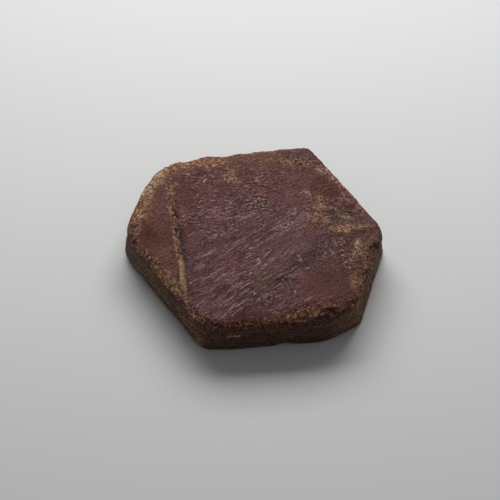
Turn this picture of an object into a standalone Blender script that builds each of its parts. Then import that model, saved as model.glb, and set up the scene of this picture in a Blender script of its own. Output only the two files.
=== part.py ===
"""Raw ruby crystal: a flat six-sided plate of corundum, worn at its edges, as one closed faceted solid.

Run it with `blender --background --python part.py`, or from Blender's text editor.

Frame: metres, +Z up along the crystal's c axis, the back prism face looking along +Y, and the origin at
the middle of the face that the plate rests on. Every length below is in millimetres until the mesh is
written. The shape is worked out in three steps:

1. sharp_plate() builds a sharp six-sided plate whose vertices sit on six-sided rings.
2. outside() says how far a point lies outside the real, worn stone: the soft maximum of the distances to
   its faces, each face with its own relief, less the chips knocked out of its edges.
3. wear_down() slides each vertex along a line out of the stone's core until it meets that surface.
"""

import math
from collections import namedtuple

import bmesh
import bpy
from mathutils import Vector, noise

MM = 0.001
NAME = "ruby_crystal"

# --- driving dimensions, in millimetres and degrees -------------------------------------------------
THICKNESS = 8.5

# The way each prism face looks, its distance from the axis at the top, how much further out it stands
# at the base, and how much that lean grows for each millimetre along the face (counter-clockwise).
PrismFace = namedtuple("PrismFace", "name heading distance lean lean_growth")
PRISM_FACES = (
    PrismFace("back", 90.0, 18.1, 0.0, 0.0),
    PrismFace("back right", 28.8, 19.6, 0.1, 0.0),
    PrismFace("front right", -30.0, 21.25, 0.85, -0.08),
    PrismFace("front", -93.0, 17.4, 0.3, 0.0),
    PrismFace("front left", -151.2, 18.0, 0.3, 0.0),
    PrismFace("back left", 150.0, 22.15, 0.0, 0.0),
)
# Smaller upright faces that take the points off the hexagon's corners or bend a side.
CORNER_FACES = (
    PrismFace("front right corner", -69.0, 20.65, 0.1, 0.0),
    PrismFace("back left corner", 122.0, 23.75, 0.0, 0.0),
    PrismFace("front left corner", -122.0, 19.75, 0.2, 0.0),
    PrismFace("left corner", -170.0, 21.9, 0.0, 0.0),
    PrismFace("right corner", 6.0, 23.0, 0.0, 0.0),
    PrismFace("back, right half", 85.0, 18.5, 0.0, 0.0),
)

# Broad slanting facets that wear has left along the top edge: heading, slope upwards, and how far the
# facet stands from the middle of the top face along its own normal.
WornFacet = namedtuple("WornFacet", "name heading slope distance")
WORN_FACETS = (
    WornFacet("left corner", -171.0, 47.0, 14.85),
    WornFacet("front left corner", -122.0, 40.0, 14.95),
    WornFacet("front left edge", -150.0, 50.0, 10.95),
    WornFacet("front edge", -90.0, 60.0, 8.1),
    WornFacet("back left corner", 124.0, 48.0, 16.1),
)

# How soft the worn edges are: the distance over which two faces blend, at the left and right ends.
WEAR_LEFT = 0.85
WEAR_RIGHT = 0.5
WEAR_SPAN = (-18.0, 14.0)  # the softness goes from the left value to the right one between these x
WEAR_CHANGE = 0.55  # how much the softness comes and goes along an edge, as a share
WEAR_PATCH = 4.2  # the size of those patches
WEAR_AT_BASE = 0.5  # the lower edges are this much sharper, as a share
WEAR_BASE_SPAN = (0.2 * THICKNESS, 0.7 * THICKNESS)  # the wear comes up to full between these heights

# Upright growth ledges round the sides: height, and how far the wall stands back there.
SIDE_PROFILE = (
    (0.0, 0.0),
    (1.7, 0.02),
    (1.95, 0.16),
    (3.2, 0.1),
    (3.45, 0.0),
    (4.9, 0.05),
    (5.1, 0.18),
    (6.4, 0.1),
    (6.6, 0.0),
    (8.5, 0.0),
)

LEDGE_STRENGTH = 0.75  # how much of the profile shows on average
LEDGE_FADE = 5.5  # how far apart along the walls the ledges are strong

# The seam that crosses the top from back to front: the strip to its left stands one growth step higher.
SEAM_X = -13.3
SEAM_STEP = 0.42
SEAM_RISER = 0.55
CREVICE_DEPTH = 0.18
CREVICE_WIDTH = 0.7

# A broad, low growth step on the top, running up to the right and dropping towards the front.
STEP_START = Vector((-0.5, -10.4))
STEP_END = Vector((13.5, -3.4))
STEP_DROP = 0.26
STEP_RAMP = 1.7
STEP_FADE_IN = (-0.35, 0.1)  # where the drop comes in and goes out, as shares of the way along
STEP_FADE_OUT = (0.9, 1.3)

# A wavy vein that stands proud near the right corner, and the lens-shaped hollow beside it.
VEIN = ((12.6, 6.4), (12.5, 3.0), (14.1, 0.9), (16.6, -1.0), (21.6, -1.0))
VEIN_HEIGHT = 0.26
VEIN_HALF_WIDTH = 0.9
LENS_CENTRE = Vector((16.5, 2.4))
LENS_HALF_SIZE = (2.5, 1.05)
LENS_DEPTH = 0.34

# Chips out of the edges: the point on the edge, how deep the chip goes there and its radius of curvature.
CHIP_RISE = 1.1  # how far up the chip's ball lies for each millimetre outward
CHIP_BLEND = 0.16  # how wide the rounding is where a chip meets the stone
CHIP_ROUGHNESS = ((0.5, 2.3), (0.22, 0.9))  # lumps in the chips' surfaces: height, and width
Chip = namedtuple("Chip", "x y z depth radius")
CHIPS = (
    Chip(16.4, 12.0, 8.5, 0.7, 3.4),
    Chip(9.8, -17.4, 8.5, 1.1, 5.6),
    Chip(4.6, -17.4, 8.5, 0.8, 3.8),
    Chip(-2.2, -17.4, 8.5, 0.85, 5.4),
    Chip(-8.9, -17.2, 8.5, 1.3, 5.4),
    Chip(-13.6, -13.9, 8.5, 1.1, 5.0),
    Chip(-17.4, -7.3, 8.5, 1.2, 4.2),
    Chip(-20.6, -1.2, 8.5, 1.2, 4.6),
    Chip(-9.0, 18.1, 8.5, 0.8, 5.0),
    Chip(1.2, 18.1, 8.5, 0.7, 4.6),
    Chip(20.8, -6.4, 8.5, 0.9, 4.2),
    Chip(18.4, -11.4, 8.5, 0.9, 4.0),
    Chip(14.9, -16.4, 8.5, 1.0, 4.0),
    Chip(20.7, 3.0, 8.5, 0.6, 3.8),
    Chip(18.0, 7.8, 8.5, 0.55, 3.0),
    Chip(-16.4, -10.0, 0.0, 1.2, 3.4),
    Chip(3.0, -18.0, 0.0, 1.0, 2.8),
    Chip(6.0, 18.0, 0.0, 1.3, 3.6),
    Chip(-19.2, 11.4, 0.0, 1.3, 3.8),
    Chip(20.2, 4.2, 0.0, 1.2, 3.0),
    Chip(-8.0, 18.0, 0.0, 1.1, 2.8),
)

# Slow waves over the whole surface: height, and the distance between crests.
WAVES = ((0.1, 6.5), (0.05, 2.6))

REST_SHAVE = 0.06  # the base is ground flat this far up, so that it rests on one plane

# --- how finely the plate is faceted ----------------------------------------------------------------
RINGS = 24
RIM_CROWDING = 1.25  # above 1, the rings draw closer together towards the rim
RIM_ROWS = (0.45, 1.0)  # extra rows on the sides, this far from the top and bottom edges
CORE_SHARE = 0.8  # the core that the lines start from, as a share of the hexagon's plan
CORE_HEIGHTS = (0.4 * THICKNESS, 0.6 * THICKNESS)
SEARCH_REACH = 1.3  # how far past the sharp plate the surface is looked for, as a share of the line
SEARCH_STEPS = 26
SCORE_SNAP = 0.27  # points this near a scored line move onto it before it is cut
SCORE_TOUCH = 0.01  # and a cut this near a point goes through the point


# --- the worn stone as a distance -------------------------------------------------------------------
def smooth_step(edge_low, edge_high, value):
    """0 below the low edge, 1 above the high one, and an S-curve between them."""
    share = min(max((value - edge_low) / (edge_high - edge_low), 0.0), 1.0)
    return share * share * (3.0 - 2.0 * share)


def side_recess(point):
    """How far the growth ledges set the wall back; they fade in and out on the way round."""
    for (low, recess_low), (high, recess_high) in zip(SIDE_PROFILE, SIDE_PROFILE[1:]):
        if point.z <= high:
            break
    share = min(max((point.z - low) / (high - low), 0.0), 1.0)
    strength = LEDGE_STRENGTH + noise.noise(Vector((point.x, point.y, 0.0)) / LEDGE_FADE)
    return (recess_low + (recess_high - recess_low) * share) * strength


def distance_to_path(point, path):
    """Distance in plan from a point to a line through several points."""
    best = math.inf
    for start, end in zip(path, path[1:]):
        start = Vector(start)
        run = Vector(end) - start
        share = min(max((point - start).dot(run) / run.length_squared, 0.0), 1.0)
        best = min(best, (point - start - run * share).length)
    return best


def seam_lines():
    """Where the seam's crest, its foot and the far side of its crevice cross the plan."""
    crest = SEAM_X - SEAM_RISER / 2
    return crest, crest + SEAM_RISER, crest + SEAM_RISER + CREVICE_WIDTH


def seam_relief(plan):
    """The raised strip left of the seam, with a crevice along the foot of its riser."""
    crest, foot, shore = seam_lines()
    if plan.x < foot:
        share = min(max((plan.x - crest) / SEAM_RISER, 0.0), 1.0)
        return SEAM_STEP - (SEAM_STEP + CREVICE_DEPTH) * share
    share = min((plan.x - foot) / (shore - foot), 1.0)
    return -CREVICE_DEPTH * (1.0 - share)


def step_relief(plan):
    """The low step that drops towards the front right, fading out at its two ends."""
    run = STEP_END - STEP_START
    along = (plan - STEP_START).dot(run) / run.length_squared
    across = (plan - STEP_START).dot(Vector((run.y, -run.x)).normalized())
    fade = smooth_step(*STEP_FADE_IN, along) * (1.0 - smooth_step(*STEP_FADE_OUT, along))
    return -STEP_DROP * min(max(across / STEP_RAMP + 0.5, 0.0), 1.0) * fade


def vein_relief(plan):
    """The proud vein and the hollow of the lens beside it."""
    ridge = VEIN_HEIGHT * math.exp(-((distance_to_path(plan, VEIN) / VEIN_HALF_WIDTH) ** 2))
    offset = plan - LENS_CENTRE
    reach = (offset.x / LENS_HALF_SIZE[0]) ** 2 + (offset.y / LENS_HALF_SIZE[1]) ** 2
    return ridge - LENS_DEPTH * math.exp(-reach)


def lumps(point, layers):
    """Smooth noise in several layers, each with its own height and width."""
    return sum(height * noise.noise(point / width) for height, width in layers)


def waves(point):
    return lumps(point, WAVES)


def top_relief(point):
    plan = point.xy
    return seam_relief(plan) + step_relief(plan) + vein_relief(plan) + waves(point)


def outside_prism_face(face, point):
    """How far a point stands in front of one upright face."""
    heading = math.radians(face.heading)
    outward = point.x * math.cos(heading) + point.y * math.sin(heading)
    along = point.y * math.cos(heading) - point.x * math.sin(heading)
    lean = (face.lean + face.lean_growth * along) * (1.0 - point.z / THICKNESS)
    return outward - face.distance - lean


def outside_worn_facet(facet, point):
    """How far a point stands in front of one slanting facet of the top edge."""
    heading = math.radians(facet.heading)
    slope = math.radians(facet.slope)
    outward = point.x * math.cos(heading) + point.y * math.sin(heading)
    above = point.z - THICKNESS
    return outward * math.cos(slope) + above * math.sin(slope) - facet.distance


def soft_maximum(values, blend):
    """The largest value, rounded off where two are close: the blend is the width of the rounding."""
    largest = max(values)
    return largest + blend * math.log(sum(math.exp((value - largest) / blend) for value in values))


def chip_centre(chip):
    """The middle of the ball that knocks a chip out: outward and up, or down, from the edge."""
    upward = 1.0 if chip.z > THICKNESS / 2 else -1.0
    outward = Vector((chip.x, chip.y, 0.0)).normalized()
    away = outward + Vector((0.0, 0.0, CHIP_RISE * upward))
    return Vector((chip.x, chip.y, chip.z)) + away.normalized() * (chip.radius - chip.depth)


CHIP_BALLS = tuple((chip_centre(chip), chip.radius) for chip in CHIPS)


def outside_chips(point):
    """How far a point reaches into the balls that knocked the chips out, whose surfaces are lumpy."""
    deepest = max(radius - (point - centre).length for centre, radius in CHIP_BALLS)
    return deepest + lumps(point, CHIP_ROUGHNESS)


def softness(point):
    """How wide the rounding of the edges is here: wider to the left and near the top, and never even."""
    wear = WEAR_LEFT + (WEAR_RIGHT - WEAR_LEFT) * smooth_step(*WEAR_SPAN, point.x)
    wear *= WEAR_AT_BASE + (1.0 - WEAR_AT_BASE) * smooth_step(*WEAR_BASE_SPAN, point.z)
    return wear * (1.0 + WEAR_CHANGE * noise.noise(point / WEAR_PATCH))


def outside(point):
    """Above 0 outside the worn stone, 0 on its surface and below 0 inside it."""
    inset = side_recess(point) - waves(point)
    faces = [outside_prism_face(face, point) + inset for face in PRISM_FACES + CORNER_FACES]
    faces += [outside_worn_facet(facet, point) - waves(point) for facet in WORN_FACETS]
    faces.append(point.z - THICKNESS - top_relief(point))
    faces.append(-point.z)
    stone = soft_maximum(faces, softness(point))
    return soft_maximum((stone, outside_chips(point)), CHIP_BLEND)


# --- the sharp plate --------------------------------------------------------------------------------
def hexagon_corners():
    """Where each prism face meets the next, counter-clockwise from the back right corner."""
    corners = []
    for face, following in zip(PRISM_FACES, PRISM_FACES[1:] + PRISM_FACES[:1]):
        first = math.radians(face.heading)
        second = math.radians(following.heading)
        turn = math.sin(second - first)
        x = (face.distance * math.sin(second) - following.distance * math.sin(first)) / turn
        y = (following.distance * math.cos(first) - face.distance * math.cos(second)) / turn
        corners.append(Vector((x, y)))
    return corners[::-1]


def ring_point(corners, ring, place):
    """The point of a six-sided ring: ring 0 is the middle, the last one the rim, each with 6 per ring."""
    if ring == 0:
        return Vector((0.0, 0.0))
    side, step = divmod(place % (6 * ring), ring)
    on_rim = corners[side].lerp(corners[(side + 1) % 6], step / ring)
    return on_rim * (1.0 - (1.0 - ring / RINGS) ** RIM_CROWDING)


def add_hexagon(bm, corners, height, upward):
    """One end of the plate as rings of triangles; returns its rim, counter-clockwise."""
    rings = [
        [
            bm.verts.new((*ring_point(corners, ring, place), height))
            for place in range(max(6 * ring, 1))
        ]
        for ring in range(RINGS + 1)
    ]
    for ring in range(1, RINGS + 1):
        outer, inner = rings[ring], rings[ring - 1]
        for place in range(6 * ring):
            side, step = divmod(place, ring)
            beside = inner[(side * (ring - 1) + step) % len(inner)]
            corner = [outer[place], outer[(place + 1) % len(outer)], beside]
            bm.faces.new(corner if upward else corner[::-1])
            if step:
                before = inner[(side * (ring - 1) + step - 1) % len(inner)]
                corner = [outer[place], beside, before]
                bm.faces.new(corner if upward else corner[::-1])
    return rings[-1]


def row_heights():
    """The heights of the rows on the sides: every bend of the ledges, and close rows at both edges."""
    heights = {height for height, _ in SIDE_PROFILE[1:-1]}
    for gap in RIM_ROWS:
        heights |= {gap, THICKNESS - gap}
    return sorted(heights)


def sharp_plate():
    """The closed plate before any wear: a top, a bottom, and rows of triangles round the sides."""
    bm = bmesh.new()
    corners = hexagon_corners()
    bottom = add_hexagon(bm, corners, 0.0, upward=False)
    top = add_hexagon(bm, corners, THICKNESS, upward=True)
    rows = [bottom]
    for height in row_heights():
        rows.append([bm.verts.new((*vert.co.xy, height)) for vert in bottom])
    rows.append(top)
    for below, above in zip(rows, rows[1:]):
        for place, vert in enumerate(below):
            after = (place + 1) % len(below)
            bm.faces.new((vert, below[after], above[after]))
            bm.faces.new((vert, above[after], above[place]))
    return bm


def score(bm, point, across):
    """Cuts the mesh along an upright plane, after moving the points nearest to it onto it."""
    for vert in bm.verts:
        offset = (vert.co - point).dot(across)
        if abs(offset) < SCORE_SNAP:
            vert.co -= across * offset
    everything = bm.verts[:] + bm.edges[:] + bm.faces[:]
    bmesh.ops.bisect_plane(bm, geom=everything, dist=SCORE_TOUCH, plane_co=point, plane_no=across)


def score_top(bm):
    """Cuts along the lines of the seam and the growth step, so that both stay crisp."""
    run = (STEP_END - STEP_START).normalized()
    downhill = Vector((run.y, -run.x, 0.0))
    for x in seam_lines():
        score(bm, Vector((x, 0.0, 0.0)), Vector((1.0, 0.0, 0.0)))
    for side in (-STEP_RAMP / 2, STEP_RAMP / 2):
        score(bm, STEP_START.to_3d() + downhill * side, downhill)
    bmesh.ops.triangulate(bm, faces=bm.faces[:])


# --- wearing it down --------------------------------------------------------------------------------
def core_point(point):
    """The point of the stone's core that a surface point looks back to."""
    reach = max(
        point.x * math.cos(math.radians(face.heading)) / face.distance
        + point.y * math.sin(math.radians(face.heading)) / face.distance
        for face in PRISM_FACES
    )
    share = min(1.0, CORE_SHARE / max(reach, CORE_SHARE))
    height = min(max(point.z, CORE_HEIGHTS[0]), CORE_HEIGHTS[1])
    return Vector((point.x * share, point.y * share, height))


def worn_point(point):
    """Where the line from the core through a point leaves the stone."""
    core = core_point(point)
    reach = point - core
    low, high = 0.0, SEARCH_REACH
    for _ in range(SEARCH_STEPS):
        middle = (low + high) / 2
        if outside(core + reach * middle) > 0.0:
            high = middle
        else:
            low = middle
    return core + reach * low


def wear_down(bm):
    for vert in bm.verts:
        vert.co = worn_point(vert.co)
        vert.co.z = max(vert.co.z, REST_SHAVE) - REST_SHAVE


def centre_on_origin(bm):
    """Moves the middle of the plan box to the origin; the base is already at height 0."""
    xs = [vert.co.x for vert in bm.verts]
    ys = [vert.co.y for vert in bm.verts]
    shift = Vector(((max(xs) + min(xs)) / 2, (max(ys) + min(ys)) / 2, 0.0))
    bmesh.ops.translate(bm, verts=bm.verts[:], vec=-shift)
    bmesh.ops.scale(bm, verts=bm.verts[:], vec=(MM, MM, MM))


# --- finish and scene -------------------------------------------------------------------------------
def ruby_material():
    """Dull purplish red-brown stone."""
    material = bpy.data.materials.new("raw ruby")
    material.use_nodes = True
    shader = material.node_tree.nodes["Principled BSDF"]
    shader.inputs["Base Color"].default_value = (0.105, 0.055, 0.055, 1.0)
    shader.inputs["Roughness"].default_value = 0.55
    shader.inputs["Metallic"].default_value = 0.0
    return material


def clear_scene():
    for obj in list(bpy.data.objects):
        bpy.data.objects.remove(obj, do_unlink=True)


def build():
    clear_scene()
    bm = sharp_plate()
    score_top(bm)
    wear_down(bm)
    centre_on_origin(bm)
    mesh = bpy.data.meshes.new(NAME)
    bm.to_mesh(mesh)
    bm.free()
    mesh.materials.append(ruby_material())
    crystal = bpy.data.objects.new(NAME, mesh)
    bpy.context.scene.collection.objects.link(crystal)


build()
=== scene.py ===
# %% [markdown]
# # A raw ruby crystal
#
# A raw ruby grows as a flat six-sided plate of corundum. This one is worn: its edges are rounded and
# chipped, one strip of its top stands a growth step higher than the rest, fine growth lines run across it,
# and ochre and rust from the ground have stayed in every hollow. The whole stone is one piece, so this
# lesson makes one mesh, `ruby_stone`, which takes the place of the plain faceted solid.
#
# The first cell loads that solid. It is the fixed frame: the dressed stone has to stay inside its box.

# %% Load the solid
import math
import random
from collections import namedtuple

import bpy
import numpy as np
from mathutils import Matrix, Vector, noise
from mathutils.bvhtree import BVHTree


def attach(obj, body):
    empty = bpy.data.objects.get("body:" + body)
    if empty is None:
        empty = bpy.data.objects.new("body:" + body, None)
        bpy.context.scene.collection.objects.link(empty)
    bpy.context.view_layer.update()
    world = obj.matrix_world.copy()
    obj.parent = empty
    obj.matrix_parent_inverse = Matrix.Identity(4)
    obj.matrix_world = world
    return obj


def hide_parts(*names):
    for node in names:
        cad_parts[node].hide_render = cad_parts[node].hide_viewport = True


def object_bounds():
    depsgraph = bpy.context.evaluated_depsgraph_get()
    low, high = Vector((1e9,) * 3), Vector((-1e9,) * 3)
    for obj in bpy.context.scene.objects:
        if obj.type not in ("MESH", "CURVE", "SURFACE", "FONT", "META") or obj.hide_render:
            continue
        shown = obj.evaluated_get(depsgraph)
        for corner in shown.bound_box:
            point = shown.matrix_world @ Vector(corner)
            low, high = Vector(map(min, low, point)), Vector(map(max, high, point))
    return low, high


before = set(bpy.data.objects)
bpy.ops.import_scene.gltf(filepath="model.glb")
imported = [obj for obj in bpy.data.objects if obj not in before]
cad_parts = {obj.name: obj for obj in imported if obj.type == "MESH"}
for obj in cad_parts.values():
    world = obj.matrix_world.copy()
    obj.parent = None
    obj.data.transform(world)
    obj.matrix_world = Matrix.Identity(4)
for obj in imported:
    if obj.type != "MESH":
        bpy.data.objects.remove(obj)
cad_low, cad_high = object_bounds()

MM = 0.001
cad_middle = (cad_low + cad_high) / (2 * MM)
cad_size = (cad_high - cad_low) / MM
print("the solid measures", " x ".join(f"{side:.2f}" for side in cad_size), "mm")

# %% [markdown]
# ## The faces of the plate
#
# A crystal is bounded by flat faces, so it is easiest to describe by them: the way each face looks and how
# far it stands from the axis. It could also be cut from a block with Booleans, but a list of faces is
# easier to measure and to correct. Six upright faces make the hexagon, smaller ones take its points off
# and bend its back, and five slanting ones are what wear has ground away along the top edge. Lengths are
# in millimetres, angles in degrees.

# %% Upright faces and worn facets
THICKNESS = 8.5
UprightFace = namedtuple("UprightFace", "name heading distance lean lean_growth")
PRISM_FACES = (
    UprightFace("back", 90.0, 18.1, 0.0, 0.0),
    UprightFace("back right", 28.8, 19.6, 0.1, 0.0),
    UprightFace("front right", -30.0, 21.25, 0.85, -0.08),
    UprightFace("front", -93.0, 17.4, 0.3, 0.0),
    UprightFace("front left", -151.2, 18.0, 0.3, 0.0),
    UprightFace("back left", 150.0, 22.15, 0.0, 0.0),
)
CORNER_FACES = (
    UprightFace("front right corner", -69.0, 20.65, 0.1, 0.0),
    UprightFace("back left corner", 122.0, 23.75, 0.0, 0.0),
    UprightFace("front left corner", -122.0, 19.75, 0.2, 0.0),
    UprightFace("left corner", -170.0, 21.9, 0.0, 0.0),
    UprightFace("right corner", 6.0, 23.0, 0.0, 0.0),
    UprightFace("back, right half", 85.0, 18.5, 0.0, 0.0),
)
WornFacet = namedtuple("WornFacet", "name heading slope distance")
WORN_FACETS = (
    WornFacet("left corner", -171.0, 47.0, 14.85),
    WornFacet("front left corner", -122.0, 40.0, 14.95),
    WornFacet("front left edge", -150.0, 50.0, 10.95),
    WornFacet("front edge", -90.0, 60.0, 8.1),
    WornFacet("back left corner", 124.0, 48.0, 16.1),
)


def plan_direction(heading):
    """The unit vector in plan that looks this way."""
    angle = math.radians(heading)
    return np.array((math.cos(angle), math.sin(angle)))


def outside_upright(face, points):
    """How far each point stands in front of an upright face."""
    ahead = plan_direction(face.heading)
    outward = points[:, :2] @ ahead
    along = points[:, 1] * ahead[0] - points[:, 0] * ahead[1]
    lean = (face.lean + face.lean_growth * along) * (1.0 - points[:, 2] / THICKNESS)
    return outward - face.distance - lean


def outside_facet(facet, points):
    """How far each point stands in front of a slanting facet of the top edge."""
    slope = math.radians(facet.slope)
    outward = points[:, :2] @ plan_direction(facet.heading)
    above = points[:, 2] - THICKNESS
    return outward * math.cos(slope) + above * math.sin(slope) - facet.distance


print(len(PRISM_FACES), "prism faces,", len(CORNER_FACES), "corner faces,", len(WORN_FACETS), "worn facets")

# %% [markdown]
# ## Smooth noise
#
# Stone is never even, and nearly everything below is varied by smooth noise. Blender's own `noise` module
# gives it a point at a time. One helper turns that into an array, with the width of a lump in millimetres,
# which may differ along x, y and z to draw the lumps out into streaks.


# %% Noise helpers
def lumps(points, width, seed=0.0):
    """Smooth noise, mostly between -0.5 and 0.5, with lumps of this width."""
    places = points / np.asarray(width, float) + seed
    return np.array([noise.noise(place) for place in places.tolist()])


def smooth_step(low, high, value):
    """0 below low, 1 above high, and an S-curve between them."""
    share = np.clip((value - low) / (high - low), 0.0, 1.0)
    return share * share * (3.0 - 2.0 * share)


print("noise at the origin:", lumps(np.array([[0.5, 0.5, 0.5]]), 1.0))

# %% [markdown]
# ## The relief of the top
#
# Growth leaves low steps on a crystal's end face. Three of them are large enough to be modelled here: the
# seam that runs from back to front, whose left side stands higher; a broad step that drops towards the
# front right; and a wavy vein with a lens-shaped hollow beside it. They could be sculpted by hand, but
# each is simple enough to be a height in millimetres as a function of the plan, which keeps it exact.

# %% Seam, growth step, vein and lens
SEAM_X = -13.3
SEAM_STEP = 0.42
SEAM_RISER = 0.55
CREVICE_DEPTH = 0.18
CREVICE_WIDTH = 0.7
STEP_START = np.array((-0.5, -10.4))
STEP_END = np.array((13.5, -3.4))
STEP_DROP = 0.26
STEP_RAMP = 1.7
STEP_FADE_IN = (-0.35, 0.1)
STEP_FADE_OUT = (0.9, 1.3)
VEIN = ((12.6, 6.4), (12.5, 3.0), (14.1, 0.9), (16.6, -1.0), (21.6, -1.0))
VEIN_HEIGHT = 0.26
VEIN_HALF_WIDTH = 0.9
LENS_CENTRE = np.array((16.5, 2.4))
LENS_HALF_SIZE = np.array((2.5, 1.05))
LENS_DEPTH = 0.34


def distance_to_path(plan, path):
    """Distance in plan from each point to a line through several points."""
    best = np.full(len(plan), np.inf)
    for start, end in zip(np.array(path), np.array(path[1:])):
        run = end - start
        share = np.clip((plan - start) @ run / (run @ run), 0.0, 1.0)
        best = np.minimum(best, np.linalg.norm(plan - start - share[:, None] * run, axis=1))
    return best


def seam_relief(plan):
    """The raised strip left of the seam, with a crevice along the foot of its riser."""
    crest = SEAM_X - SEAM_RISER / 2
    foot = crest + SEAM_RISER
    riser = np.clip((plan[:, 0] - crest) / SEAM_RISER, 0.0, 1.0)
    shore = np.clip((plan[:, 0] - foot) / CREVICE_WIDTH, 0.0, 1.0)
    return SEAM_STEP - (SEAM_STEP + CREVICE_DEPTH) * riser + CREVICE_DEPTH * shore


def step_relief(plan):
    """The low step that drops towards the front right, fading out at its two ends."""
    run = STEP_END - STEP_START
    downhill = np.array((run[1], -run[0])) / np.linalg.norm(run)
    along = (plan - STEP_START) @ run / (run @ run)
    across = (plan - STEP_START) @ downhill
    fade = smooth_step(*STEP_FADE_IN, along) * (1.0 - smooth_step(*STEP_FADE_OUT, along))
    return -STEP_DROP * np.clip(across / STEP_RAMP + 0.5, 0.0, 1.0) * fade


def vein_relief(plan):
    """The proud vein and the hollow of the lens beside it."""
    ridge = VEIN_HEIGHT * np.exp(-((distance_to_path(plan, VEIN) / VEIN_HALF_WIDTH) ** 2))
    reach = (((plan - LENS_CENTRE) / LENS_HALF_SIZE) ** 2).sum(axis=1)
    return ridge - LENS_DEPTH * np.exp(-reach)


print("the seam's step is", SEAM_STEP, "mm and the growth step's", STEP_DROP, "mm")

# %% [markdown]
# ## Ledges, chips and wear
#
# The walls grew in layers, which stand a little proud of each other and come and go on the way round.
# Knocks have taken shallow chips out of the edges. Each chip is a ball that the stone stays outside of,
# and lumps on the ball make its scar crumbly. The softness of a worn edge is the width over which two
# faces blend: it is greatest on the left and smallest at the base, and it comes and goes in between. All
# of it is one distance, below 0 inside the stone, so every rule can be added without a Boolean.

# %% Side ledges and chips
SIDE_HEIGHTS = (0.0, 1.7, 1.95, 3.2, 3.45, 4.9, 5.1, 6.4, 6.6, 8.5)
SIDE_RECESSES = (0.0, 0.02, 0.16, 0.1, 0.0, 0.05, 0.18, 0.1, 0.0, 0.0)
LEDGE_STRENGTH = 0.75
LEDGE_FADE = 5.5
WEAR_LEFT = 0.85
WEAR_RIGHT = 0.5
WEAR_SPAN = (-18.0, 14.0)
WEAR_CHANGE = 0.55
WEAR_AT_BASE = 0.5
WEAR_BASE_SPAN = (0.2 * THICKNESS, 0.7 * THICKNESS)
WEAR_PATCH = 4.2
WAVES = ((0.1, 6.5), (0.05, 2.6))
CHIP_RISE = 1.1
CHIP_BLEND = 0.16
CHIP_ROUGHNESS = ((0.5, 2.3), (0.22, 0.9))
Chip = namedtuple("Chip", "x y z depth radius")
CHIPS = (
    Chip(16.4, 12.0, 8.5, 0.7, 3.4),
    Chip(9.8, -17.4, 8.5, 1.1, 5.6),
    Chip(4.6, -17.4, 8.5, 0.8, 3.8),
    Chip(-2.2, -17.4, 8.5, 0.85, 5.4),
    Chip(-8.9, -17.2, 8.5, 1.3, 5.4),
    Chip(-13.6, -13.9, 8.5, 1.1, 5.0),
    Chip(-17.4, -7.3, 8.5, 1.2, 4.2),
    Chip(-20.6, -1.2, 8.5, 1.2, 4.6),
    Chip(-9.0, 18.1, 8.5, 0.8, 5.0),
    Chip(1.2, 18.1, 8.5, 0.7, 4.6),
    Chip(20.8, -6.4, 8.5, 0.9, 4.2),
    Chip(18.4, -11.4, 8.5, 0.9, 4.0),
    Chip(14.9, -16.4, 8.5, 1.0, 4.0),
    Chip(20.7, 3.0, 8.5, 0.6, 3.8),
    Chip(18.0, 7.8, 8.5, 0.55, 3.0),
    Chip(-16.4, -10.0, 0.0, 1.2, 3.4),
    Chip(3.0, -18.0, 0.0, 1.0, 2.8),
    Chip(6.0, 18.0, 0.0, 1.3, 3.6),
    Chip(-19.2, 11.4, 0.0, 1.3, 3.8),
    Chip(20.2, 4.2, 0.0, 1.2, 3.0),
    Chip(-8.0, 18.0, 0.0, 1.1, 2.8),
)
SlowNoise = namedtuple("SlowNoise", "wear waves ledges chips")


def slow_noise(points):
    """The noises of the surface that change so slowly that they needn't follow each step of a search."""
    flat = points * (1.0, 1.0, 0.0)
    waves = sum(height * lumps(points, length) for height, length in WAVES)
    chips = sum(height * lumps(points, length) for height, length in CHIP_ROUGHNESS)
    return SlowNoise(lumps(points, WEAR_PATCH), waves, lumps(flat, LEDGE_FADE), chips)


def outside_chips(points):
    """How far each point reaches into the balls that knocked the chips out."""
    deepest = np.full(len(points), -np.inf)
    for chip in CHIPS:
        edge = np.array((chip.x, chip.y, chip.z))
        upward = 1.0 if chip.z > THICKNESS / 2 else -1.0
        away = np.append(edge[:2] / np.linalg.norm(edge[:2]), CHIP_RISE * upward)
        centre = edge + away / np.linalg.norm(away) * (chip.radius - chip.depth)
        deepest = np.maximum(deepest, chip.radius - np.linalg.norm(points - centre, axis=1))
    return deepest


def soft_maximum(values, softness):
    """The largest of several values at each point, blended where two are nearly as large."""
    largest = values.max(axis=0)
    return largest + softness * np.log(np.exp((values - largest) / softness).sum(axis=0))


def outside(points, slow):
    """Above 0 outside the worn stone, 0 on its surface and below 0 inside it."""
    softness = WEAR_LEFT + (WEAR_RIGHT - WEAR_LEFT) * smooth_step(*WEAR_SPAN, points[:, 0])
    softness *= 1.0 + WEAR_CHANGE * slow.wear
    softness *= WEAR_AT_BASE + (1.0 - WEAR_AT_BASE) * smooth_step(*WEAR_BASE_SPAN, points[:, 2])
    recess = np.interp(points[:, 2], SIDE_HEIGHTS, SIDE_RECESSES) * (LEDGE_STRENGTH + slow.ledges)
    faces = [outside_upright(face, points) + recess - slow.waves for face in PRISM_FACES + CORNER_FACES]
    faces += [outside_facet(facet, points) - slow.waves for facet in WORN_FACETS]
    plan = points[:, :2]
    top = THICKNESS + seam_relief(plan) + step_relief(plan) + vein_relief(plan) + slow.waves
    faces += [points[:, 2] - top, -points[:, 2]]
    stone = soft_maximum(np.array(faces), softness)
    return soft_maximum(np.array((stone, outside_chips(points) + slow.chips)), CHIP_BLEND)


print(len(CHIPS), "chips")

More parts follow.
